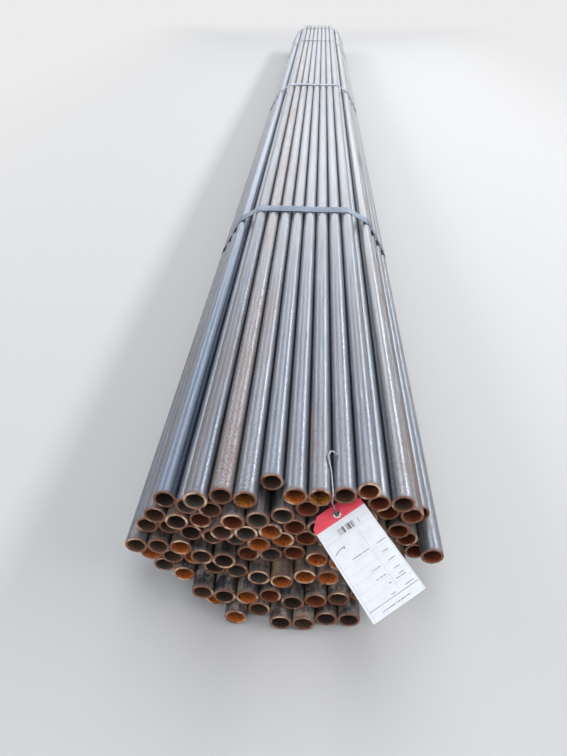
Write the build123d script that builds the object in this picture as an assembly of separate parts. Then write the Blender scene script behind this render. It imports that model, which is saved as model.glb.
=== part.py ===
from build123d import *
import os

# A strapped bundle of round steel pipes, lying on its straps. The pipes run along Y, the end that
# carries the tag looks towards -Y, and Z is up. Sizes are in millimetres.

# Pipe stock: one inch nominal bore, heavy wall, in the six metre length it is sold in.
pipe_outer_d = 33.7
pipe_wall = 4.0
pipe_length = 6000.0
pipe_gap = 0.25

# Rows from the top down. Each row gives the place of its first pipe, counted in pitches from the
# bundle's middle, and how many steps each pipe's near end stands out towards the tag (a minus is
# set back).
end_step = 5.0
rows = [
    (-3.5, [3, 1, 2, -5, 0, 0, -1, -3]),
    (-5.0, [-2, 0, 1, 5, 4, 2, -1, -5, -8, -4, -4]),
    (-5.5, [-1, 1, 0, 4, 4, 3, 1, 1, 0, -3, -6, -5]),
    (-6.0, [-2, -2, 0, 1, 1, 3, 1, 0, 1, 1, -2, -4, -11]),
    (-6.5, [1, 1, 1, 4, 5, 2, 2, 1, 3, 4, 0, -2, -6, 0]),
    (-6.0, [-1, 0, 0, 3, 4, 6, 7, 5, 5, 3, 0, -2, -6]),
    (-5.5, [-1, 2, 8, 9, 9, 8, 10, 9, 8, 6, 1]),
    (-3.0, [6, 12, 9, 13, 13, 11, 11]),
]

# Straps: flat hoop steel round the whole bundle, its ends lapped on top and spot welded.
strap_width = 40.0
strap_thickness = 1.0
strap_gap = 0.2
strap_from_near_end = [1040.0, 2900.0]
strap_from_far_end = [1200.0, 300.0]
lap_start = -100.0
lap_length = 100.0
lap_ramp = 12.0
weld_spot_d = 9.0
weld_spot_depth = 0.4
weld_spot_inset = 32.0

# Tag: a stiff card with cut corners, an eyelet in its top end, and the wire that holds it.
tag_width = 79.0
tag_length = 159.0
tag_thickness = 0.6
tag_corner = 14.0
tag_hole_inset = 14.0
tag_across = (0.815, 0.447, 0.370)
tag_normal = (-0.2325, -0.333, 0.914)
tag_from_groove = 0.4
tag_behind_ends = 10.1
tag_below_row = 10.75
eyelet_hole_d = 6.4
eyelet_tube_wall = 0.6
eyelet_flange_width = 1.8
eyelet_flange_height = 0.5
eyelet_gap = 0.05
wire_d = 2.5
wire_gap = 0.3
wire_lean = 0.5
wire_tail = 11.0
wire_tail_bend = 2.8

# The groove between two top pipes that the wire lies in, counted in pitches from the middle, and
# the wire's route from the eyelet to its free end: across from the middle of the groove, back from
# the nominal pipe ends, and up from where the wire would touch both pipes. Each point but the last
# has the radius of its bend.
groove_place = 2
wire_route = [(-0.6, -4.5, -10.1), (0.5, -1.5, 3.4), (-1.7, 41.0, 3.4), (-6.4, 65.0, 10.4), (-1.4, 77.0, 12.4),
              (5.3, 70.0, 7.9)]
wire_bends = [8.0, 8.0, 30.0, 10.0, 4.5]

pipe_r = pipe_outer_d / 2
pitch = pipe_outer_d + pipe_gap
row_rise = pitch * 3 ** 0.5 / 2
strap_inner_r = pipe_r + strap_gap
strap_outer_r = strap_inner_r + strap_thickness
bottom_axis_z = strap_outer_r
top_axis_z = bottom_axis_z + row_rise * (len(rows) - 1)
groove_x = groove_place * pitch
groove_seat_z = top_axis_z + ((pipe_r + wire_gap + wire_d / 2) ** 2 - (pitch / 2) ** 2) ** 0.5


def row_axes(index):
    """The places of one row's pipes across the bundle, and the height of their axes."""
    first, steps = rows[index]
    return [(first + i) * pitch for i in range(len(steps))], top_axis_z - index * row_rise


def pipe_row(index):
    """All the pipes of one row, as separate solids."""
    places, height = row_axes(index)
    section = Circle(pipe_r) - Circle(pipe_r - pipe_wall)
    pipes = []
    for x, steps in zip(places, rows[index][1]):
        near_end = Plane(origin=(x, -steps * end_step, height), x_dir=(1, 0, 0), z_dir=(0, 1, 0))
        pipes.append(extrude(near_end * section, amount=pipe_length).solid())
    return pipes


def one_side(points):
    """The points that a tight band bends round on its way from the first point to the last."""
    kept = []
    for point in points:
        while len(kept) > 1 and (kept[-1] - kept[-2]).cross(point - kept[-1]).Z < 1e-6:
            kept.pop()
        kept.append(point)
    return kept[:-1]


def band_face(radius):
    """The shape inside a band that is pulled tight round pipes of this radius."""
    ends = []
    for index in range(len(rows)):
        places, height = row_axes(index)
        ends += [Vector(places[0], height), Vector(places[-1], height)]
    ends.sort(key=lambda point: (point.X, point.Y))
    corners = one_side(ends) + one_side(ends[::-1])
    return offset(make_face(Polyline(*corners, close=True)), radius, kind=Kind.ARC)


def strap(place):
    """One strap: the hoop, the lap of its outer end on top, and the weld spot that joins them."""
    middle = Plane(origin=(0, place, 0), x_dir=(1, 0, 0), z_dir=(0, -1, 0))
    hoop = extrude(middle * (band_face(strap_outer_r) - band_face(strap_inner_r)),
                   amount=strap_width / 2, both=True)
    low = top_axis_z + strap_inner_r + strap_thickness / 2
    high = top_axis_z + strap_outer_r + strap_thickness
    lap_end = lap_start + lap_length
    lap_side = make_face(Polyline((lap_start, low), (lap_start, high), (lap_end - lap_ramp, high),
                                  (lap_end, high - strap_thickness), (lap_end, low), close=True))
    lap = extrude(middle * lap_side, amount=strap_width / 2, both=True)
    spot = Pos(lap_start + weld_spot_inset, place, high) * Cylinder(weld_spot_d / 2, 2 * weld_spot_depth)
    return (hoop + lap - spot).solid()


def tag_plane():
    """The card's own plane: its origin at the middle of the top edge, X across, Y to the top."""
    middle_of_top = (groove_x + tag_from_groove, tag_behind_ends, top_axis_z - pipe_r - tag_below_row)
    return Plane(origin=middle_of_top, x_dir=tag_across, z_dir=tag_normal)


def tag_card():
    """The card, with two cut corners at the end that is held, and its hole."""
    half = tag_width / 2
    outline = make_face(Polyline((-half, -tag_length), (half, -tag_length), (half, -tag_corner),
                                 (half - tag_corner, 0), (tag_corner - half, 0), (-half, -tag_corner), close=True))
    hole = Pos(0, -tag_hole_inset) * Circle(eyelet_hole_d / 2 + eyelet_tube_wall + eyelet_gap)
    return extrude(tag_plane() * (outline - hole), amount=tag_thickness / 2, both=True).solid()


def tag_eyelet():
    """The metal eyelet: a short tube through the card with a flared flange on each face."""
    bore = eyelet_hole_d / 2
    tube = bore + eyelet_tube_wall
    rim = tube + eyelet_flange_width
    face = tag_thickness / 2 + eyelet_gap
    top = face + eyelet_flange_height
    half_section = make_face(Polyline((bore, -top), (tube, -top), (rim, -face), (tube, -face), (tube, face),
                                      (rim, face), (tube, top), (bore, top), close=True))
    return (tag_plane() * Pos(0, -tag_hole_inset, 0) * revolve(Plane.XZ * half_section, Axis.Z)).solid()


def tag_wire():
    """The stiff wire: a tail under the card, up through the eyelet, and back along the groove."""
    plane = tag_plane()
    up = plane.z_dir
    under = tag_thickness / 2 + eyelet_gap + eyelet_flange_height + wire_gap + wire_d / 2
    off_centre = eyelet_hole_d / 2 - wire_gap - wire_d / 2 - wire_lean
    in_hole = plane.origin + plane.y_dir * (off_centre - tag_hole_inset)
    points = [in_hole - up * under - plane.y_dir * wire_tail, in_hole - up * under]
    points += [Vector(groove_x + x, y, groove_seat_z + z) for x, y, z in wire_route]
    path = FilletPolyline(*points, radius=[wire_tail_bend] + wire_bends)
    return sweep((path ^ 0) * Circle(wire_d / 2), path).solid()


pieces = {f"pipe_row_{index + 1}": pipe_row(index) for index in range(len(rows))}
strap_places = strap_from_near_end + [pipe_length - back for back in strap_from_far_end]
for number, place in enumerate(strap_places, 1):
    pieces[f"strap_{number}"] = [strap(place)]
pieces["tag_card"] = [tag_card()]
pieces["tag_eyelet"] = [tag_eyelet()]
pieces["tag_wire"] = [tag_wire()]

# The frame's origin is at the bottom centre of the bundle with its tag.
reach = Compound([solid for group in pieces.values() for solid in group]).bounding_box()
to_frame = Pos(0, -(reach.min.Y + reach.max.Y) / 2, 0)
print("move along Y", round(to_frame.position.Y, 3), "height of the top row's axes", round(top_axis_z, 3))

os.makedirs("parts", exist_ok=True)
for name, group in pieces.items():
    export_step(to_frame * Compound(group), f"parts/{name}.step")
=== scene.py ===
# %% [markdown]
# # A strapped bundle of steel pipes
# The bundle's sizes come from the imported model, which is loaded first and never changed. Everything
# here is in metres: the pipes run along Y, their tagged ends look towards -Y, and Z is up. What this
# file adds is the finish: cut pipe ends with worn rims, mill scale and rust, blue-grey straps, and
# the printed tag.

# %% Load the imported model
import bmesh
import bpy
import math
import random
from mathutils import Matrix, Vector


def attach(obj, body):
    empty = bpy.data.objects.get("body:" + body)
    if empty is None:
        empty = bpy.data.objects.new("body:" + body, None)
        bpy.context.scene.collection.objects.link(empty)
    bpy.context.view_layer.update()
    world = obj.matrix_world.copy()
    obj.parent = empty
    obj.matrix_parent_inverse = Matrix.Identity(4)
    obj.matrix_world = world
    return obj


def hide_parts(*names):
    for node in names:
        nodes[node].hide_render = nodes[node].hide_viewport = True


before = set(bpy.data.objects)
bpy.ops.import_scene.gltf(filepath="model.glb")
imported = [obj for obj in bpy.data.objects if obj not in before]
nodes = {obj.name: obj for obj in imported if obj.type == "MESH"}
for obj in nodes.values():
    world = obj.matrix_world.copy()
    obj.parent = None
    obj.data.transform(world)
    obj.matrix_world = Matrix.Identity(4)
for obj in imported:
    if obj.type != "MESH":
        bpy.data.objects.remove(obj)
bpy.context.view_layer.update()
bpy.ops.object.select_all(action="DESELECT")

# %% [markdown]
# ## The camera
# The camera stands over the tagged ends, a little to the right of them, and looks down along the
# pipes at about 37 degrees. It is turned some 3 degrees to the left of the pipes' own direction, so
# the bundle leans to the right as it runs off. The height and distance set how fast the bundle
# narrows, and the lens sets how large it is, so all of these are chosen against the pipe ends.

# %% Camera over the tagged ends
# From the drawing: where a pipe with no step has its near end, and how high the top row's axes are.
near_ends_y = -2.957660
top_row_z = 0.223861
looks_down, turned_left = 36.75, 3.25
camera_data = bpy.data.cameras.new("camera")
camera_data.sensor_fit = "VERTICAL"
camera_data.sensor_height = 36.0
camera_data.lens = 27.286
camera_data.clip_start = 0.01
camera = bpy.data.objects.new("camera", camera_data)
camera.location = (0.031, near_ends_y - 0.530, top_row_z + 0.599)
camera.rotation_euler = (math.radians(90 - looks_down), 0, math.radians(turned_left))
bpy.context.scene.collection.objects.link(camera)
bpy.context.scene.camera = camera
print("camera at", tuple(round(c, 3) for c in camera.location))

# %% [markdown]
# ## Writing materials as sums
# A finish is mostly arithmetic on a few noise patterns and on the place of a point, so the nodes are
# written as Python expressions. One small class stands for a socket; its operators add Math nodes.

# %% A socket that can be added and multiplied
class Wire:
    """The output of a node, used like a number in the expressions of one material."""

    def __init__(self, tree, socket):
        self.tree, self.socket = tree, socket

    def node(self, kind, inputs=(), output=0, **settings):
        """Adds any node, sets it up first, then feeds its sockets with values or wires."""
        made = self.tree.nodes.new(kind)
        for key, value in settings.items():
            setattr(made, key, value)
        for key, value in dict(inputs).items():
            socket = made.inputs[key]
            if isinstance(value, Wire):
                self.tree.links.new(value.socket, socket)
            else:
                socket.default_value = value
        return Wire(self.tree, made.outputs[output])

    def math(self, operation, *values):
        """One Math node on this wire and the values after it."""
        return self.node("ShaderNodeMath", dict(enumerate((self, *values))), operation=operation)

    def __add__(self, other):
        return self.math("ADD", other)

    def __sub__(self, other):
        return self.math("SUBTRACT", other)

    def __rsub__(self, other):
        return self.node("ShaderNodeMath", {0: other, 1: self}, operation="SUBTRACT")

    def __mul__(self, other):
        return self.math("MULTIPLY", other)

    def __truediv__(self, other):
        return self.math("DIVIDE", other)

    def __gt__(self, other):
        return self.math("GREATER_THAN", other)

    def __lt__(self, other):
        return self.math("LESS_THAN", other)

    __radd__ = __add__
    __rmul__ = __mul__

    def vector(self, operation, other):
        """One Vector Math node, for places and directions."""
        return self.node("ShaderNodeVectorMath", {0: self, 1: other}, operation=operation)

    def parts(self):
        """The three numbers of a vector or colour."""
        made = self.node("ShaderNodeSeparateXYZ", {0: self}).socket.node
        return [Wire(self.tree, output) for output in made.outputs]

    def attribute(self, name, output):
        """What a mesh has written on its points: 0 is its colour, 1 vector, 2 number, 3 alpha."""
        return self.node("ShaderNodeAttribute", output=output, attribute_name=name)

    def noise(self, scale, detail, roughness):
        """A soft random pattern, read at the place that this wire gives."""
        return self.node("ShaderNodeTexNoise", {"Vector": self, "Scale": scale, "Detail": detail,
                                                "Roughness": roughness})

    def rise(self, low, high):
        """0 below the low value and 1 above the high one, with a soft step between."""
        return self.node("ShaderNodeMapRange", {"Value": self, "From Min": low, "From Max": high},
                         interpolation_type="SMOOTHSTEP")

    def choose(self, low, high):
        """One colour where this wire is 0, the other where it is 1."""
        low, high = [colour if isinstance(colour, Wire) else (*colour, 1) for colour in (low, high)]
        return self.node("ShaderNodeMix", {0: self, 6: low, 7: high}, 2, data_type="RGBA")


print("materials are ready to be written")

# %% [markdown]
# ## The floor
# A pale floor shows metal as it is and takes the bundle's shadow. Away from the bundle it turns into
# plain paper white, but only for rays that come from the camera and for what is seen in a mirror or
# through glass. The rays that light the object never see it, so the paper adds no light to the steel.

# %% Floor
paper_white = (0.84, 0.84, 0.84)


def seen_by_eye(start):
    """1 for rays from the camera and their mirror images, 0 for the rays that light the object."""
    rays = start.node("ShaderNodeLightPath").socket.node.outputs
    camera_ray = Wire(start.tree, rays["Is Camera Ray"])
    glossy_ray = Wire(start.tree, rays["Is Glossy Ray"])
    clear_ray = Wire(start.tree, rays["Is Transmission Ray"])
    return (camera_ray + glossy_ray + clear_ray).math("MINIMUM", 1.0)


bpy.ops.mesh.primitive_plane_add(size=60, location=(0, 0, 0))
floor = bpy.context.object
floor.name = "floor"
floor_paper = bpy.data.materials.new("floor_paper")
floor_paper.use_nodes = True
floor_tree = floor_paper.node_tree
matte = floor_tree.nodes["Principled BSDF"]
matte.inputs["Base Color"].default_value = (0.620, 0.615, 0.610, 1)
matte.inputs["Roughness"].default_value = 0.9
matte.inputs["Specular IOR Level"].default_value = 0.1
floor_point = Wire(floor_tree, floor_tree.nodes.new("ShaderNodeTexCoord").outputs["Object"])
aside, ahead = [part.math("ABSOLUTE") for part in floor_point.parts()[:2]]
far_off = aside.rise(0.5, 2.4).math("MAXIMUM", ahead.rise(3.5, 6.0))
glow = floor_point.node("ShaderNodeEmission", {"Color": (*paper_white, 1), "Strength": 1.0})
blend = floor_point.node("ShaderNodeMixShader", {0: far_off * seen_by_eye(floor_point),
                                                 1: Wire(floor_tree, matte.outputs[0]), 2: glow})
floor_tree.links.new(blend.socket, floor_tree.nodes["Material Output"].inputs["Surface"])
floor.data.materials.append(floor_paper)
print("floor is", tuple(round(side, 1) for side in floor.dimensions[:2]), "metres wide and long")

# %% [markdown]
# ## The light
# Round metal shows its lamps as lines, so the lamps are long panels that run with the pipes. The one
# overhead lights the whole bundle evenly, a narrow one at each side draws a bright line along every
# pipe, a weak one in front lets the cut ends be read, and a wide one behind the far end is what the
# tops mirror. The lamps stay at a plain level, at which a colour renders about as it is written.

# %% Lamps and sky
def panel(name, place, target, size, power):
    """A soft rectangular lamp that looks at a point."""
    lamp_data = bpy.data.lights.new(name, "AREA")
    lamp_data.shape = "RECTANGLE"
    lamp_data.size, lamp_data.size_y = size
    lamp_data.energy = power
    lamp = bpy.data.objects.new(name, lamp_data)
    lamp.location = place
    lamp.rotation_euler = (Vector(target) - Vector(place)).to_track_quat("-Z", "Y").to_euler()
    lamp.visible_camera = False
    bpy.context.scene.collection.objects.link(lamp)


panel("overhead_panel", (0.0, 0.3, 3.4), (0, 0.3, 0.1), (1.6, 8.0), 70)
panel("right_panel", (2.5, 0.2, 2.1), (0, 0.2, 0.2), (9.0, 0.45), 130)
panel("left_panel", (-2.4, 0.2, 1.8), (0, 0.2, 0.2), (9.0, 0.6), 48)
panel("front_panel", (-0.6, -5.4, 1.9), (0, -2.9, 0.1), (2.0, 1.2), 16)
panel("back_panel", (0.0, 8.5, 2.6), (0, 1, 0.1), (7.0, 3.0), 136)
sky_blue = (0.385, 0.412, 0.460)
world = bpy.data.worlds.new("studio")
world.use_nodes = True
sky = world.node_tree.nodes["Background"]
seen = seen_by_eye(Wire(world.node_tree, sky.outputs[0]))
world.node_tree.links.new(seen.choose(sky_blue, paper_white).socket, sky.inputs["Color"])
bpy.context.scene.world = world
bpy.context.scene.view_settings.view_transform = "Standard"

# %% [markdown]
# ## Picking by place
# Operators act on what is selected. A pick names the kind of element and a test on it, so a rim or an
# end face is found by where it is and which way it looks, as the eye would find it.

# %% Pick elements in edit mode
def pick(kind, test):
    """Selects exactly the vertices, edges or faces of the edited mesh that pass the test."""
    bpy.ops.mesh.select_mode(type=kind)
    bpy.ops.mesh.select_all(action="DESELECT")
    edited = bmesh.from_edit_mesh(bpy.context.object.data)
    elements = {"VERT": edited.verts, "EDGE": edited.edges, "FACE": edited.faces}[kind]
    found = [element for element in elements if test(element)]
    for element in found:
        element.select = True
    edited.select_flush_mode()
    bmesh.update_edit_mesh(bpy.context.object.data)
    return len(found)


def radius_of(vertex):
    """The distance from the pipe's axis, for a pipe that still lies on the Y axis."""
    return math.hypot(vertex.co.x, vertex.co.z)


print("ready to pick")

# %% [markdown]
# ## One pipe
# Each pipe is a rolled steel tube, sawn to length. One blank is made and copied: a cylinder whose two
# end faces are inset by the wall, joined through the middle to open the bore, and bevelled a little
# on the outer rim and more on the inner one, where a saw leaves a burr that is knocked off. Three
# cuts near the tagged end give the copies something to bend when their ends are made unlike.

# %% The blank
pipe_r, pipe_wall, pipe_length = 0.01685, 0.004, 6.0
outer_bevel, inner_bevel = 0.0005, 0.0009
rim_reach = 0.0012
bpy.ops.mesh.primitive_cylinder_add(vertices=64, radius=pipe_r, depth=pipe_length,
                                    location=(0, pipe_length / 2, 0), rotation=(math.pi / 2, 0, 0))
blank = bpy.context.object
blank.name = "pipe_blank"
bpy.ops.object.transform_apply(location=True, rotation=True, scale=True)
bpy.ops.object.mode_set(mode="EDIT")
pick("FACE", lambda face: abs(face.normal.y) > 0.9)
bpy.ops.mesh.inset(thickness=pipe_wall, use_individual=True)
bpy.ops.mesh.bridge_edge_loops()


def rim_edge(radius):
    """A test for the edges of both ends that lie on a circle of this radius."""
    def on_rim(edge):
        ends = {round(vertex.co.y, 3) for vertex in edge.verts}
        return len(ends) == 1 and all(abs(radius_of(vertex) - radius) < 0.0003 for vertex in edge.verts)
    return on_rim


print("outer rim edges", pick("EDGE", rim_edge(pipe_r)))
bpy.ops.mesh.bevel(offset=outer_bevel, segments=2, affect="EDGES")
print("inner rim edges", pick("EDGE", rim_edge(pipe_r - pipe_wall)))
bpy.ops.mesh.bevel(offset=inner_bevel, segments=2, affect="EDGES")
for cut_y in (0.004, 0.014, 0.040):
    bpy.ops.mesh.select_all(action="SELECT")
    bpy.ops.mesh.bisect(plane_co=(0, cut_y, 0), plane_no=(0, 1, 0))
bpy.ops.mesh.select_all(action="SELECT")
bpy.ops.mesh.remove_doubles(threshold=0.00001)
bpy.ops.mesh.normals_make_consistent(inside=False)
bpy.ops.object.mode_set(mode="OBJECT")
bpy.ops.object.shade_smooth_by_angle(angle=math.radians(35))
rims = blank.vertex_groups.new(name="near_rim")
rims.add([vertex.index for vertex in blank.data.vertices if vertex.co.y < rim_reach], 1.0, "REPLACE")
print("the blank has", len(blank.data.polygons), "faces")

# %% [markdown]
# ## The rows
# Where each pipe lies is read from the drawing: the place of a row's first pipe in pitches, and how
# far each end stands out, in steps. The letters beside them are the finish, one letter a pipe. Those
# of the first word say what is inside the bore: k dark, g grey, b brown, r dark red, o bright orange
# rust, y dark with an ochre patch. Those of the second say how the outside has weathered and how much
# painted shade it gets: n blue-grey mill scale, l strongly blue, p pale and pinkish, q between n and p,
# s pale with dark specks and paler still as painted light where the pipe above shades it, m darkened
# a little with painted shade, w washed with brown and partly in painted shade, d stained and darkest
# in painted shade, for the pipes that lie in the shadow of others. A table is easier to set against
# the pipes than a chance would be, and it keeps each pipe's finish where it belongs.

# %% The table of pipes
pitch, row_rise, end_step = 0.03395, 0.0294016, 0.005
rows = [
    (-3.5, [3, 1, 2, -5, 0, 0, -1, -3], "gbyboybr", "mpqnnnnn"),
    (-5.0, [-2, 0, 1, 5, 4, 2, -1, -5, -8, -4, -4], "kgbrggrrrrb", "lnwwddwnnns"),
    (-5.5, [-1, 1, 0, 4, 4, 3, 1, 1, 0, -3, -6, -5], "bkrbgorkbbrr", "mwwwddwwwwww"),
    (-6.0, [-2, -2, 0, 1, 1, 3, 1, 0, 1, 1, -2, -4, -11], "bbkbgoorrbbrr", "mwwwddwwwwwwn"),
    (-6.5, [1, 1, 1, 4, 5, 2, 2, 1, 3, 4, 0, -2, -6, 0], "bbobkrgroobbrr", "mddddwdwwwwwdn"),
    (-6.0, [-1, 0, 0, 3, 4, 6, 7, 5, 5, 3, 0, -2, -6], "obokggooorbbr", "wdddddwwwddwn"),
    (-5.5, [-1, 2, 8, 9, 9, 8, 10, 9, 8, 6, 1], "gobkorkrbrb", "ddddwddddww"),
    (-3.0, [6, 12, 9, 13, 13, 11, 11], "oobkbkk", "ddddwdd"),
]
# A colour, and the share of the bore that it covers.
bore_colours = {
    "k": (0.026, 0.027, 0.028, 0.5),
    "g": (0.105, 0.112, 0.095, 0.6),
    "b": (0.150, 0.088, 0.060, 0.5),
    "r": (0.320, 0.068, 0.028, 0.5),
    "o": (0.860, 0.215, 0.028, 0.52),
    "y": (0.820, 0.290, 0.024, 0.36),
}
# From blue to pink, specks, brown wash, and painted shade for pipes in the shadow of others, each from 0 to
# 1.
skins = {
    "n": (0.45, 0.15, 0.10, 0.0),
    "l": (0.10, 0.15, 0.05, 0.12),
    "p": (0.66, 0.95, 0.25, 0.0),
    "q": (0.50, 0.55, 0.20, 0.0),
    "m": (0.38, 0.30, 0.25, 0.30),
    # s is paler partly as painted light, to lift a pipe that the pipe above it shades.
    "s": (0.74, 0.62, 0.00, 0.0),
    "w": (0.50, 0.35, 0.70, 0.45),
    "d": (0.40, 0.25, 0.30, 0.75),
}
# Ends whose rims get a strong painted glint on the saw burr, as row and place in the row.
glinting_ends = [(1, 1), (1, 4), (1, 8), (2, 4), (3, 2), (3, 5), (4, 7), (5, 9), (5, 13), (6, 6), (6, 7),
                (6, 8)]
# Pipes with a line of rust along them: how far across from the axis it lies, from where, to where.
rust_lines = {(1, 6): (-0.0140, 0.00, 0.17), (3, 1): (0.0020, 0.40, 0.62), (1, 5): (0.0120, 0.84, 0.95)}
print(sum(len(row[1]) for row in rows), "pipes in", len(rows), "rows")

# %% [markdown]
# ## A pipe from the blank
# No saw cuts two ends alike. Each copy's near rim is pressed a little out of round and tilted by a
# degree or so, then the whole pipe is rolled by a chance angle and moved to its place. What its
# finish needs to know is written on its mesh, so that one material can serve every pipe. A seeded
# chance gives the same bundle each time.

# %% Copy, bend and mark one pipe
shake = random.Random(41)
most_oval, most_tilt = 0.006, 1.2


def finished_pipe(place, x, near_y, z, bore, skin):
    """A copy of the blank, its end made a little out of true, with its finish written on its mesh."""
    pipe = bpy.data.objects.new("row_{}_pipe_{}".format(*place), blank.data.copy())
    bpy.context.scene.collection.objects.link(pipe)
    pipe.vertex_groups.new(name="near_rim")
    bpy.ops.object.select_all(action="DESELECT")
    pipe.select_set(True)
    bpy.context.view_layer.objects.active = pipe
    bpy.ops.object.mode_set(mode="EDIT")
    pick("VERT", lambda vertex: vertex.co.y < rim_reach)
    oval = shake.uniform(-most_oval, most_oval)
    tilt = math.radians(shake.uniform(-most_tilt, most_tilt))
    wide, tall = 1 - abs(oval) + oval, 1 - abs(oval) - oval
    bpy.ops.transform.resize(value=(wide, 1, tall), center_override=(0, 0, 0))
    bpy.ops.transform.rotate(value=tilt, orient_axis="X", center_override=(0, 0, 0))
    bpy.ops.transform.translate(value=(0, pipe_r * abs(math.sin(tilt)), 0))
    bpy.ops.mesh.select_all(action="SELECT")
    roll = shake.uniform(0, 2 * math.pi)
    bpy.ops.transform.rotate(value=roll, orient_axis="Y", center_override=(0, 0, 0))
    bpy.ops.object.mode_set(mode="OBJECT")
    pipe.data.transform(Matrix.Translation((x, near_y, z)))
    # How strong the painted glint on this pipe's rim is.
    burr_glint = shake.uniform(0.75, 1.0) if place in glinting_ends else shake.uniform(0.0, 0.55)
    facts = {"axis": ("FLOAT_VECTOR", "vector", (x, near_y, z)),
             "rust_line": ("FLOAT_VECTOR", "vector", rust_lines.get(place, (0, -1, -1))),
             "bore": ("FLOAT_COLOR", "color", bore_colours[bore]),
             "skin": ("FLOAT_COLOR", "color", skins[skin]),
             "burr_glint": ("FLOAT", "value", (burr_glint,))}
    for fact, (kind, field, values) in facts.items():
        written = pipe.data.attributes.new(fact, kind, "POINT")
        written.data.foreach_set(field, list(values) * len(pipe.data.vertices))
    return pipe


print("ready to copy the blank of", len(blank.data.vertices), "points")

# %% [markdown]
# ## Rows into nodes
# The pipes of one row become one piece, which stands for that row's solids. A small displacement that
# only touches the near rims leaves them ragged, as a cold saw does, and it only ever moves them back,
# so that no end grows longer than the drawing.

# %% Build the rows
ragged = bpy.data.textures.new("ragged_rim", "CLOUDS")
ragged.noise_scale = 0.0045
ragged.noise_depth = 2
pipe_rows = []
for index, (first, steps, bores, row_skins) in enumerate(rows):
    height = top_row_z - index * row_rise
    pipes = [finished_pipe((index + 1, i + 1), (first + i) * pitch, near_ends_y - steps[i] * end_step,
                           height, bores[i], row_skins[i]) for i in range(len(steps))]
    bpy.ops.object.select_all(action="DESELECT")
    for pipe in pipes:
        pipe.select_set(True)
    bpy.context.view_layer.objects.active = pipes[0]
    bpy.ops.object.join()
    row = bpy.context.object
    row.name = f"steel_pipes_{index + 1}"
    teeth = row.modifiers.new("ragged_rims", "DISPLACE")
    teeth.texture = ragged
    teeth.texture_coords = "LOCAL"
    teeth.direction = "Y"
    teeth.mid_level = 0.0
    teeth.strength = 0.0011
    teeth.vertex_group = "near_rim"
    bpy.ops.object.modifier_apply(modifier=teeth.name)
    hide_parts(f"pipe_row_{index + 1}")
    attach(row, "root")
    pipe_rows.append(row)
bpy.data.objects.remove(blank)
print("rows", [(row.name, len(row.data.polygons)) for row in pipe_rows])

# %% [markdown]
# ## The pipe's own terms
# One material serves all the pipes, so it has to work in each pipe's own terms. Every mesh says where
# its pipes' axes and near ends are: how far from the axis a point is tells the bore from the skin,
# and how far along it is tells the end from the middle. The same noise is read at another place for
# every pipe, so no two match. Some of it is squeezed along the pipe, which draws it out into streaks,
# as the rolls do with the surface.

# %% Places and noises on a pipe
def start_material(name):
    """A material's shader, and the point being shaded in the piece's own coordinates."""
    material = bpy.data.materials.new(name)
    material.use_nodes = True
    tree = material.node_tree
    coordinates = tree.nodes.new("ShaderNodeTexCoord")
    return material, tree.nodes["Principled BSDF"], Wire(tree, coordinates.outputs["Object"])


steel, steel_shader, here = start_material("pipe_steel")
axis = here.attribute("axis", 1)
local = here.vector("SUBTRACT", axis)
local_x, from_near, local_z = local.parts()
from_end = from_near.math("MINIMUM", pipe_length - from_near)
near_end = 1 - from_end.rise(0.02, 0.30)
radius = (local_x * local_x + local_z * local_z).math("POWER", 0.5)
own_place = axis.vector("MULTIPLY", (17.3, 5.1, 23.9))
grain = local.vector("ADD", own_place)
drawn = local.vector("MULTIPLY", (1, 0.03, 1)).vector("ADD", own_place)

streaks = drawn.noise(260, 5, 0.62)
fine_streaks = drawn.vector("MULTIPLY", (1, 0.4, 1)).noise(900, 3, 0.6)
clouds = local.vector("MULTIPLY", (1, 0.12, 1)).vector("ADD", own_place).noise(22, 4, 0.6)
small = grain.noise(950, 2, 0.6)
coarse = grain.noise(330, 3, 0.65)
either_grain = small.rise(0.35, 0.65)
print("noises to draw with", len([n for n in steel.node_tree.nodes if n.type == "TEX_NOISE"]))

# %% [markdown]
# ## Mill scale
# A rolled pipe keeps the blue-grey scale of the mill, in soft streaks with a fine dark mottle over
# them, and thin bright lines where pipes have slid on each other. Some pipes are bluer, some paler
# and pinker, and the pipes that lie in the shadow of others are darkened with painted shade. Each of
# these is one more colour laid over the last through its own mask, as a painter glazes, so each can
# be judged and changed alone.

# %% Blue-grey skin
cold_to_warm, specks_here, brown_here = here.attribute("skin", 0).parts()
shade_here = here.attribute("skin", 3)
skin_colour = streaks.rise(0.34, 0.68).choose((0.200, 0.228, 0.275), (0.278, 0.313, 0.372))
mottle = (small * 0.6 + coarse * 0.4).rise(0.38, 0.62)
skin_colour = (mottle * 0.50).choose(skin_colour, (0.112, 0.118, 0.140))
skin_colour = (clouds.rise(0.48, 0.70) * 0.6).choose(skin_colour, (0.215, 0.213, 0.232))

plain_skin = 0.45
cold = (1 - cold_to_warm / plain_skin).math("MAXIMUM", 0.0)
warm = ((cold_to_warm - plain_skin) / (1 - plain_skin)).math("MAXIMUM", 0.0)
skin_colour = (cold * 0.80).choose(skin_colour, (0.165, 0.225, 0.330))
skin_colour = (warm * 0.60).choose(skin_colour, (0.420, 0.398, 0.392))
rubbed = fine_streaks.rise(0.56, 0.74) * 0.28
skin_colour = rubbed.choose(skin_colour, (0.640, 0.680, 0.720))

brown_patch = (clouds * 0.6 + streaks * 0.5).rise(0.48, 0.68) * brown_here
skin_colour = brown_patch.choose(skin_colour, (0.175, 0.085, 0.048))
# Painted shade: pipes that lie in the shadow of others are darkened towards near black.
painted_shade = shade_here * (0.95 - 0.35 * streaks.rise(0.4, 0.7))
skin_colour = painted_shade.choose(skin_colour, (0.025, 0.027, 0.031))
print("skins", sorted(skins))

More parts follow.
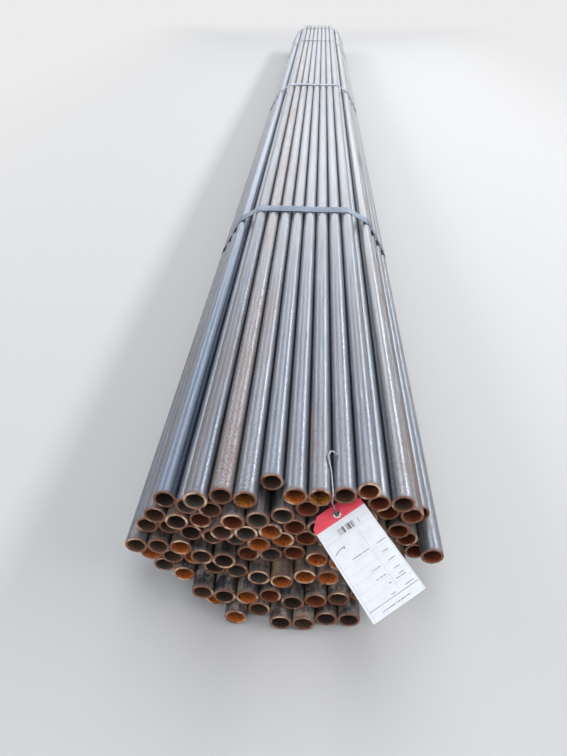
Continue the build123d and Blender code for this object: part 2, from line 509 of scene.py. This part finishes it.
# %% [markdown]
# ## Rust and dust
# After some weeks outdoors rust breaks through the scale, most of all near the sawn ends: in soft
# blotches, in brown drips down from the tops, and in specks that are dark on clean scale and brown on
# washed pipes. The lowest rows also carry a sandy dust on their upper sides, and here and there a
# bright fleck shows where the scale has chipped. All of it is painted rather than modelled, because
# none of it stands up more than a sheet of paper.

# %% Blotches, drips, specks, dust and flecks
blotches = local.vector("MULTIPLY", (1, 0.5, 1)).vector("ADD", own_place).noise(30, 4, 0.7).rise(0.60, 0.70)
blotches = blotches * small.rise(0.38, 0.58) * (0.30 + near_end * 0.70)
skin_colour = (blotches * 0.60).choose(skin_colour, (0.225, 0.120, 0.068))

top_side = (local_z / pipe_r + clouds * 0.8).rise(0.2, 1.2)
drips = (drawn.noise(75, 3, 0.6) * 0.7 + clouds * 0.4).rise(0.50, 0.66)
drips = drips * top_side * near_end * brown_here
drip_colour = either_grain.choose((0.160, 0.080, 0.035), (0.340, 0.190, 0.075))
skin_colour = (drips * 0.85).choose(skin_colour, drip_colour)

amount = specks_here * 0.105 + near_end * 0.030 + clouds * 0.04
rust_specks = (small * 0.5 + coarse * 0.5 + amount).rise(0.655, 0.700)
rust_tone = (brown_here * 0.9 + clouds * 0.5).rise(0.28, 0.62)
rust_colour = rust_tone.choose((0.032, 0.024, 0.022), (0.215, 0.098, 0.050))
skin_colour = (rust_specks * 0.85).choose(skin_colour, rust_colour)

low_row = 1 - axis.parts()[2].rise(0.05, 0.15)
upward = (local_z / pipe_r + coarse * 0.5).rise(0.1, 0.9)
dust = (grain.noise(48, 4, 0.65) * 0.7 + coarse * 0.3).rise(0.47, 0.60) * low_row * upward
dust_colour = either_grain.choose((0.270, 0.200, 0.145), (0.480, 0.385, 0.290))
skin_colour = (dust * 0.60).choose(skin_colour, dust_colour)
flecks = grain.vector("ADD", (3.1, 0.7, 1.9)).noise(520, 1, 0.5).rise(0.790, 0.815)
skin_colour = (flecks * 0.7).choose(skin_colour, (0.800, 0.820, 0.840))
print("weathered skin takes", len(steel.node_tree.nodes), "nodes so far")

# %% [markdown]
# ## Lines of rust
# Water stands in the groove between two pipes, and where it has, a thin orange line is left along a
# pipe. Three pipes have one. The mesh says how far across it lies and where it starts and ends, and
# the streaks shift its edge so that it isn't ruled.

# %% Rust along a groove
line_x, line_start, line_end = here.attribute("rust_line", 1).parts()
off_line = (local_x - line_x + (streaks - 0.5) * 0.004).math("ABSOLUTE")
on_line = 1 - off_line.rise(0.0008, 0.0018)
on_line = on_line * (local_z > 0.0) * (from_near > line_start) * (from_near < line_end)
on_line = on_line * (coarse * 0.5 + clouds * 0.5).rise(0.40, 0.56)
line_colour = either_grain.choose((0.300, 0.125, 0.050), (0.560, 0.270, 0.110))
skin_colour = (on_line * 0.80).choose(skin_colour, line_colour)
print("pipes with a line of rust", len(rust_lines))

# %% [markdown]
# ## Sawn ends
# The saw's heat has burnt a brown band about a centimetre wide beside each cut. The cut face is bare
# steel that rusted brown at once, darker towards the bore, with a bright bronze painted glint along
# parts of its edge where light catches the burr. The face is told by its direction along the pipe,
# and its two lips by their radius.

# %% Burnt band, rim and burr
burnt = 1 - (from_end + coarse * 0.010).rise(0.006, 0.013)
burnt_colour = small.rise(0.4, 0.6).choose((0.090, 0.050, 0.038), (0.280, 0.160, 0.115))
skin_colour = (burnt * 0.6).choose(skin_colour, burnt_colour)

facing = here.node("ShaderNodeTexCoord", output="Normal").parts()[1].math("ABSOLUTE")
rim = facing.rise(0.35, 0.85)
burr_glint = here.attribute("burr_glint", 2)
outer_lip = radius.rise(0.0158, 0.0165)
inner_lip = 1 - radius.rise(0.0132, 0.0139)
# Painted glint: a bright bronze edge on the rims, strongest on the listed ends, stands in for light caught
# on the burr.
painted_burr_glint = grain.noise(42, 2, 0.5) * 0.95 + coarse * 0.2 + burr_glint * 0.16 + outer_lip * 0.06
painted_burr_glint = painted_burr_glint.rise(0.64, 0.82)
rim_colour = small.rise(0.40, 0.62).choose((0.140, 0.052, 0.030), (0.400, 0.172, 0.094))
rim_colour = (inner_lip * 0.6).choose(rim_colour, (0.100, 0.042, 0.025))
rim_colour = painted_burr_glint.choose(rim_colour, (0.850, 0.565, 0.375))
outside_colour = rim.choose(skin_colour, rim_colour)
print("ends whose burr shines", len(glinting_ends))

# %% [markdown]
# ## Bores
# Inside, nothing rubs the rust off, so each bore has its own: grey, brown, red or bright orange, over
# a dark ground. More of it lies on the lower side, partly rust where water lay and partly painted
# light where light falls into the bore. The colour and its share are written on the mesh. Light
# hardly reaches past the first inch, so the colour sinks to nearly black there.

# %% Inside the pipes
bore_r = 0.0129
in_bore = 1 - radius.rise(bore_r, 0.0133)
bore_rust = here.attribute("bore", 0)
bore_rust = (coarse.rise(0.46, 0.64) * 0.65).choose(bore_rust, (0.150, 0.042, 0.016))
bore_share = here.attribute("bore", 3)
# More rust colour on the lower side: partly rust where water lay, partly painted light on the lower inside.
low_down = 0.5 - local_z / bore_r * 0.5
bore_rust_and_lit_side = grain.noise(62, 4, 0.62) * 1.1 + bore_share * 0.55 + low_down * 0.42
bore_rust_and_lit_side = bore_rust_and_lit_side.rise(0.95, 1.17)
bore_ground = coarse.rise(0.4, 0.6).choose((0.022, 0.015, 0.012), (0.105, 0.044, 0.026))
bore_colour = bore_rust_and_lit_side.choose(bore_ground, bore_rust)
bore_colour = (small.rise(0.50, 0.64) * 0.45).choose(bore_colour, (0.120, 0.045, 0.018))
bore_colour = (from_end.rise(0.0015, 0.026) * 0.92).choose(bore_colour, (0.012, 0.009, 0.008))
colour = in_bore.choose(outside_colour, bore_colour)
print("kinds of bore", sorted(bore_colours))

# %% [markdown]
# ## Gloss and relief
# Scale on steel shines like metal, and rust doesn't: where the masks of rust add up, the surface
# turns from metal to a dull one and its roughness goes up. The same masks lift the rust a little in
# the bump, so the light breaks at its edges.

# %% Pipe steel
def feed(shader, **sockets):
    """Links wires to the shader's sockets, and sets plain numbers on them."""
    for name, value in sockets.items():
        socket = shader.inputs[name.replace("_", " ")]
        if isinstance(value, Wire):
            value.tree.links.new(value.socket, socket)
        else:
            socket.default_value = value


rusty = rust_specks + burnt * 0.6 + brown_patch * 0.7 + blotches * 0.6 + drips + on_line + dust
rusty = rusty.math("MINIMUM", 1.0)
metal = (1 - in_bore) * (1 - rusty * 0.85) * (1 - rim * 0.5) * 0.85
rough = 0.230 + streaks * 0.08 + mottle * 0.09 + rusty * 0.35 + in_bore * 0.35
rough = rough.math("MINIMUM", 0.95)
height = streaks * 0.10 + fine_streaks * 0.05 + rust_specks * 0.5 + coarse * 0.3 * (in_bore + rim + 0.15)
bump = here.node("ShaderNodeBump", {"Strength": 0.35, "Distance": 0.0006, "Height": height})
feed(steel_shader, Base_Color=colour, Metallic=metal, Roughness=rough, Normal=bump)
for row in pipe_rows:
    row.data.materials.clear()
    row.data.materials.append(steel)
print("pipe steel has", len(steel.node_tree.nodes), "nodes")

# %% [markdown]
# ## Straps
# The straps are cold-rolled steel band with a blue-grey finish, with broad paler stretches of painted
# sheen that stand in for the lamps' reflection on the band. It is rolled lengthwise, so its streaks
# run round the bundle, and where the two ends were spot welded the heat has left a small blue and
# straw-coloured ring. The band's shape is right in the drawing, so each strap keeps it, and only the
# finish is made here, one for each strap because the ring has its own place.

# %% Strap steel
strap_places = [1.040, 2.900, pipe_length - 1.200, pipe_length - 0.300]
band_and_lap = 0.0022
weld_x, strap_top_z = -0.068, top_row_z + pipe_r + band_and_lap


def strap_steel(number, strap_y):
    """The finish of one strap, with its weld spot at the right place."""
    material, shader, here = start_material(f"strap_steel_{number}")
    lengthwise = here.vector("MULTIPLY", (0.04, 1, 0.04))
    streaks = lengthwise.noise(1500, 4, 0.6)
    patches = here.noise(30, 4, 0.6)
    specks = here.noise(800, 2, 0.6)
    colour = streaks.rise(0.30, 0.72).choose((0.054, 0.084, 0.134), (0.090, 0.134, 0.202))
    # Painted sheen: broad paler patches stand in for the lamps' reflection on the band.
    painted_sheen = here.noise(12, 3, 0.5).rise(0.46, 0.64) * 0.65
    colour = painted_sheen.choose(colour, (0.165, 0.225, 0.310))
    colour = (patches.rise(0.50, 0.72) * 0.5).choose(colour, (0.082, 0.102, 0.135))
    across = here.parts()[1] - strap_y
    edge = across.math("ABSOLUTE").rise(0.0165, 0.0198)
    rust = (specks * 0.6 + patches * 0.25 + edge * 0.12).rise(0.565, 0.640)
    colour = (rust * 0.7).choose(colour, (0.190, 0.085, 0.040))
    to_weld = here.vector("SUBTRACT", (weld_x, strap_y, strap_top_z))
    weld_r = to_weld.node("ShaderNodeVectorMath", {0: to_weld}, 1, operation="LENGTH")
    straw = weld_r.rise(0.0040, 0.0060) * (1 - weld_r.rise(0.0070, 0.0110))
    pool = 1 - weld_r.rise(0.0036, 0.0050)
    colour = (straw * 0.75).choose(colour, (0.100, 0.110, 0.190))
    colour = (pool * 0.8).choose(colour, (0.110, 0.095, 0.085))
    rough = 0.24 + streaks * 0.12 + patches * 0.08 + rust * 0.4 + pool * 0.25
    height = streaks * 0.3 + rust * 0.4 + pool * specks
    bump = here.node("ShaderNodeBump", {"Strength": 0.25, "Distance": 0.0004, "Height": height})
    feed(shader, Base_Color=colour, Metallic=0.9 - rust * 0.7 - pool * 0.3, Roughness=rough, Normal=bump)
    return material


def give(name, material):
    """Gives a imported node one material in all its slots."""
    piece = nodes[name]
    if not piece.material_slots:
        piece.data.materials.append(material)
    for slot in piece.material_slots:
        slot.material = material


for number, place in enumerate(strap_places, 1):
    give(f"strap_{number}", strap_steel(number, near_ends_y + place))
print("straps finished", len(strap_places))

# %% [markdown]
# ## The card's own directions
# The tag is a coated white card that leans in its wire. Print lies flat on it, so it is drawn in the
# card's own two directions: the point being shaded is measured from the middle of the card's top
# edge, in millimetres across the card and up it. An image would need an unwrapped card and a file;
# measured marks stay sharp from any distance.

# %% Millimetres on the card
tag_normal = Vector((-0.2325, -0.333, 0.914)).normalized()
tag_across = Vector((0.815, 0.447, 0.370))
tag_across = (tag_across - tag_normal * tag_across.dot(tag_normal)).normalized()
tag_up = tag_normal.cross(tag_across)
tag_top = Vector((2 * pitch + 0.0004, near_ends_y + 0.0101, top_row_z - pipe_r - 0.01075))
card, card_shader, here = start_material("tag_card")
on_card = here.vector("SUBTRACT", tuple(tag_top))


def along(vector, direction):
    """How far a vector reaches in one direction."""
    return vector.node("ShaderNodeVectorMath", {0: vector, 1: tuple(direction)}, 1, operation="DOT_PRODUCT")


u = along(on_card, tag_across) * 1000
v = along(on_card, tag_up) * 1000
print("the card's normal", tuple(round(c, 3) for c in tag_normal))

# %% [markdown]
# ## Marks of a printed form
# Below its red end the card carries a ruled form: a strip of bars, a frame with a dividing line,
# rules across it, short grey marks in its boxes that say nothing, and one pen stroke. A mark is where
# two spans cross, so a few helpers draw them all, and a random number for each thin slice of the
# strip breaks it into bars of unlike widths.

# %% Frame, rules, bars and pen stroke
def span(value, low, high, soft=0.15):
    """1 between two places, in millimetres on the card, and 0 outside them."""
    return value.rise(low - soft, low + soft) * (1 - value.rise(high - soft, high + soft))


def mark(left, right, middle, thick):
    """A straight mark printed across the card."""
    return span(u, left, right) * span(v, middle - thick / 2, middle + thick / 2)


def any_of(masks):
    """Where at least one of the masks is."""
    total = masks[0]
    for mask in masks[1:]:
        total = total.math("MAXIMUM", mask)
    return total


def chance(width):
    """A random number for each strip of this width, in millimetres across the card."""
    return u.node("ShaderNodeTexWhiteNoise", {"W": (u / width).math("FLOOR")}, noise_dimensions="1D")


def stroke(start, end, thick):
    """A straight pen stroke between two places on the card."""
    run = (end[0] - start[0], end[1] - start[1])
    length = math.hypot(*run)
    across = ((u - start[0]) * (run[1] / length) - (v - start[1]) * (run[0] / length)).math("ABSOLUTE")
    ahead = (u - start[0]) * (run[0] / length) + (v - start[1]) * (run[1] / length)
    return (1 - across.rise(thick / 2, thick / 2 + 0.3)) * span(ahead, 0, length, 0.3)


form_left, form_right, form_top, form_foot, card_foot = -36.0, 38.0, -44.5, -145.3, -159
rules = [-82.8, -95.5, -108.2, -120.8, -133.2]
# Each short mark's left end, right end and height on the card.
short_marks = [(21.4, 35.3, -78.1), (20.8, 29.9, -91.8), (21.3, 32.4, -105.0), (21.1, 30.0, -117.2),
               (22.0, 30.5, -125.8), (16.4, 31.1, -129.4), (20.8, 34.0, -141.2), (-17.2, 9.4, -78.1),
               (-4.4, 8.7, -105.0), (-6.1, 8.6, -117.3), (4.7, 8.6, -129.4), (-0.6, 6.4, -142.0),
               (-22.2, 21.0, -153.2)]
bars = span(u, -14.5, 15.2) * span(v, -42.0, -32.4) * (chance(0.62) > 0.46)
stub = span(u, 19.4, 20.6) * span(v, -41.5, -33.6)
frame_lines = any_of([mark(form_left, form_right, form_top, 0.5),
                      span(u, form_left - 0.25, form_left + 0.25) * span(v, card_foot, form_top),
                      span(u, form_right - 0.25, form_right + 0.25) * span(v, card_foot, form_top),
                      span(u, 11.8, 12.3) * span(v, -141, form_top)])
rule_lines = any_of([mark(form_left, form_right, rule, 0.45) for rule in rules])
foot_line = mark(form_left, form_right, form_foot, 0.9)
grey_marks = any_of([mark(left, right, middle, 1.5) for left, right, middle in short_marks])
grey_marks = grey_marks * (0.35 + chance(1.1).rise(0.05, 0.35) * 0.65)
pen = any_of([stroke((-32.3, -60.8), (-24.0, -57.6), 0.8), stroke((-24.2, -57.8), (-16.2, -57.0), 1.0),
              stroke((-16.6, -57.0), (-17.8, -60.2), 1.0)])
print("marks on the card", len(rules) + len(short_marks))

# %% [markdown]
# ## Paper and ink
# The paper is a cool white, a little uneven and smudged by hands, under a thin coat that softens the
# lamps. The inks are laid over it from the palest to the darkest, then the red end. Only the face
# that looks up is printed, and the one below stays bare.

# %% The printed card
paper_noise = here.noise(60, 4, 0.6)
paper = paper_noise.rise(0.40, 0.75).choose((0.880, 0.900, 0.940), (0.810, 0.825, 0.860))
smudge = here.noise(24, 3, 0.6).rise(0.60, 0.76) * 0.35
paper = smudge.choose(paper, (0.620, 0.590, 0.550))
printed = (rule_lines * 0.42).choose(paper, (0.330, 0.340, 0.370))
printed = (frame_lines * 0.55).choose(printed, (0.300, 0.310, 0.340))
printed = (foot_line * 0.85).choose(printed, (0.150, 0.155, 0.165))
printed = (grey_marks * 0.80).choose(printed, (0.200, 0.205, 0.215))
printed = ((bars * 0.92).math("MAXIMUM", stub * 0.5)).choose(printed, (0.090, 0.090, 0.100))
printed = (pen * 0.92).choose(printed, (0.070, 0.090, 0.085))
red_end = v.rise(-22.8, -22.5)
red = paper_noise.rise(0.35, 0.70).choose((0.950, 0.085, 0.130), (0.860, 0.068, 0.105))
printed = red_end.choose(printed, red)
upper_face = along(here.node("ShaderNodeTexCoord", output="Normal"), tag_normal).rise(0.80, 0.90)
fibres = here.noise(900, 2, 0.5) * 0.3 + paper_noise
bump = here.node("ShaderNodeBump", {"Strength": 0.12, "Distance": 0.0005, "Height": fibres})
feed(card_shader, Base_Color=upper_face.choose(paper, printed), Roughness=0.42 + paper_noise * 0.15,
     Normal=bump, Coat_Roughness=0.25, Coat_Weight=0.12)
give("tag_card", card)
print("the card's material has", len(card.node_tree.nodes), "nodes")

# %% [markdown]
# ## Eyelet and wire
# The eyelet is thin plated metal, rolled over on both faces, duller and slightly yellow where it was
# pressed. The wire is galvanised: drawn lines along it and a faint spangle. Both shapes are right in
# the drawing, and both finishes are one recipe with other colours.

# %% Small metal
def plated(name, light, dark, roughness, seed_place):
    """A thin plated metal with drawn lines, worn patches and a few dull specks."""
    material, shader, here = start_material(name)
    place = here.vector("ADD", seed_place)
    patches = place.noise(450, 3, 0.6)
    lines = place.vector("MULTIPLY", (1, 0.25, 0.5)).noise(1800, 2, 0.6)
    dull = place.noise(1300, 2, 0.6).rise(0.60, 0.72)
    colour = (patches * 0.6 + lines * 0.4).rise(0.36, 0.64).choose(dark, light)
    colour = (dull * 0.5).choose(colour, (0.200, 0.170, 0.140))
    rough = roughness + dull * 0.3 + patches * 0.1
    bump = here.node("ShaderNodeBump", {"Strength": 0.2, "Distance": 0.0002, "Height": lines + dull * 0.5})
    feed(shader, Base_Color=colour, Metallic=0.92 - dull * 0.4, Roughness=rough, Normal=bump)
    return material


give("tag_eyelet", plated("eyelet_metal", (0.66, 0.64, 0.59), (0.36, 0.34, 0.30), 0.26, (0.3, 0, 0)))
give("tag_wire", plated("wire_steel", (0.44, 0.46, 0.49), (0.19, 0.20, 0.22), 0.24, (0, 0.4, 0)))
print("tag, eyelet and wire finished")
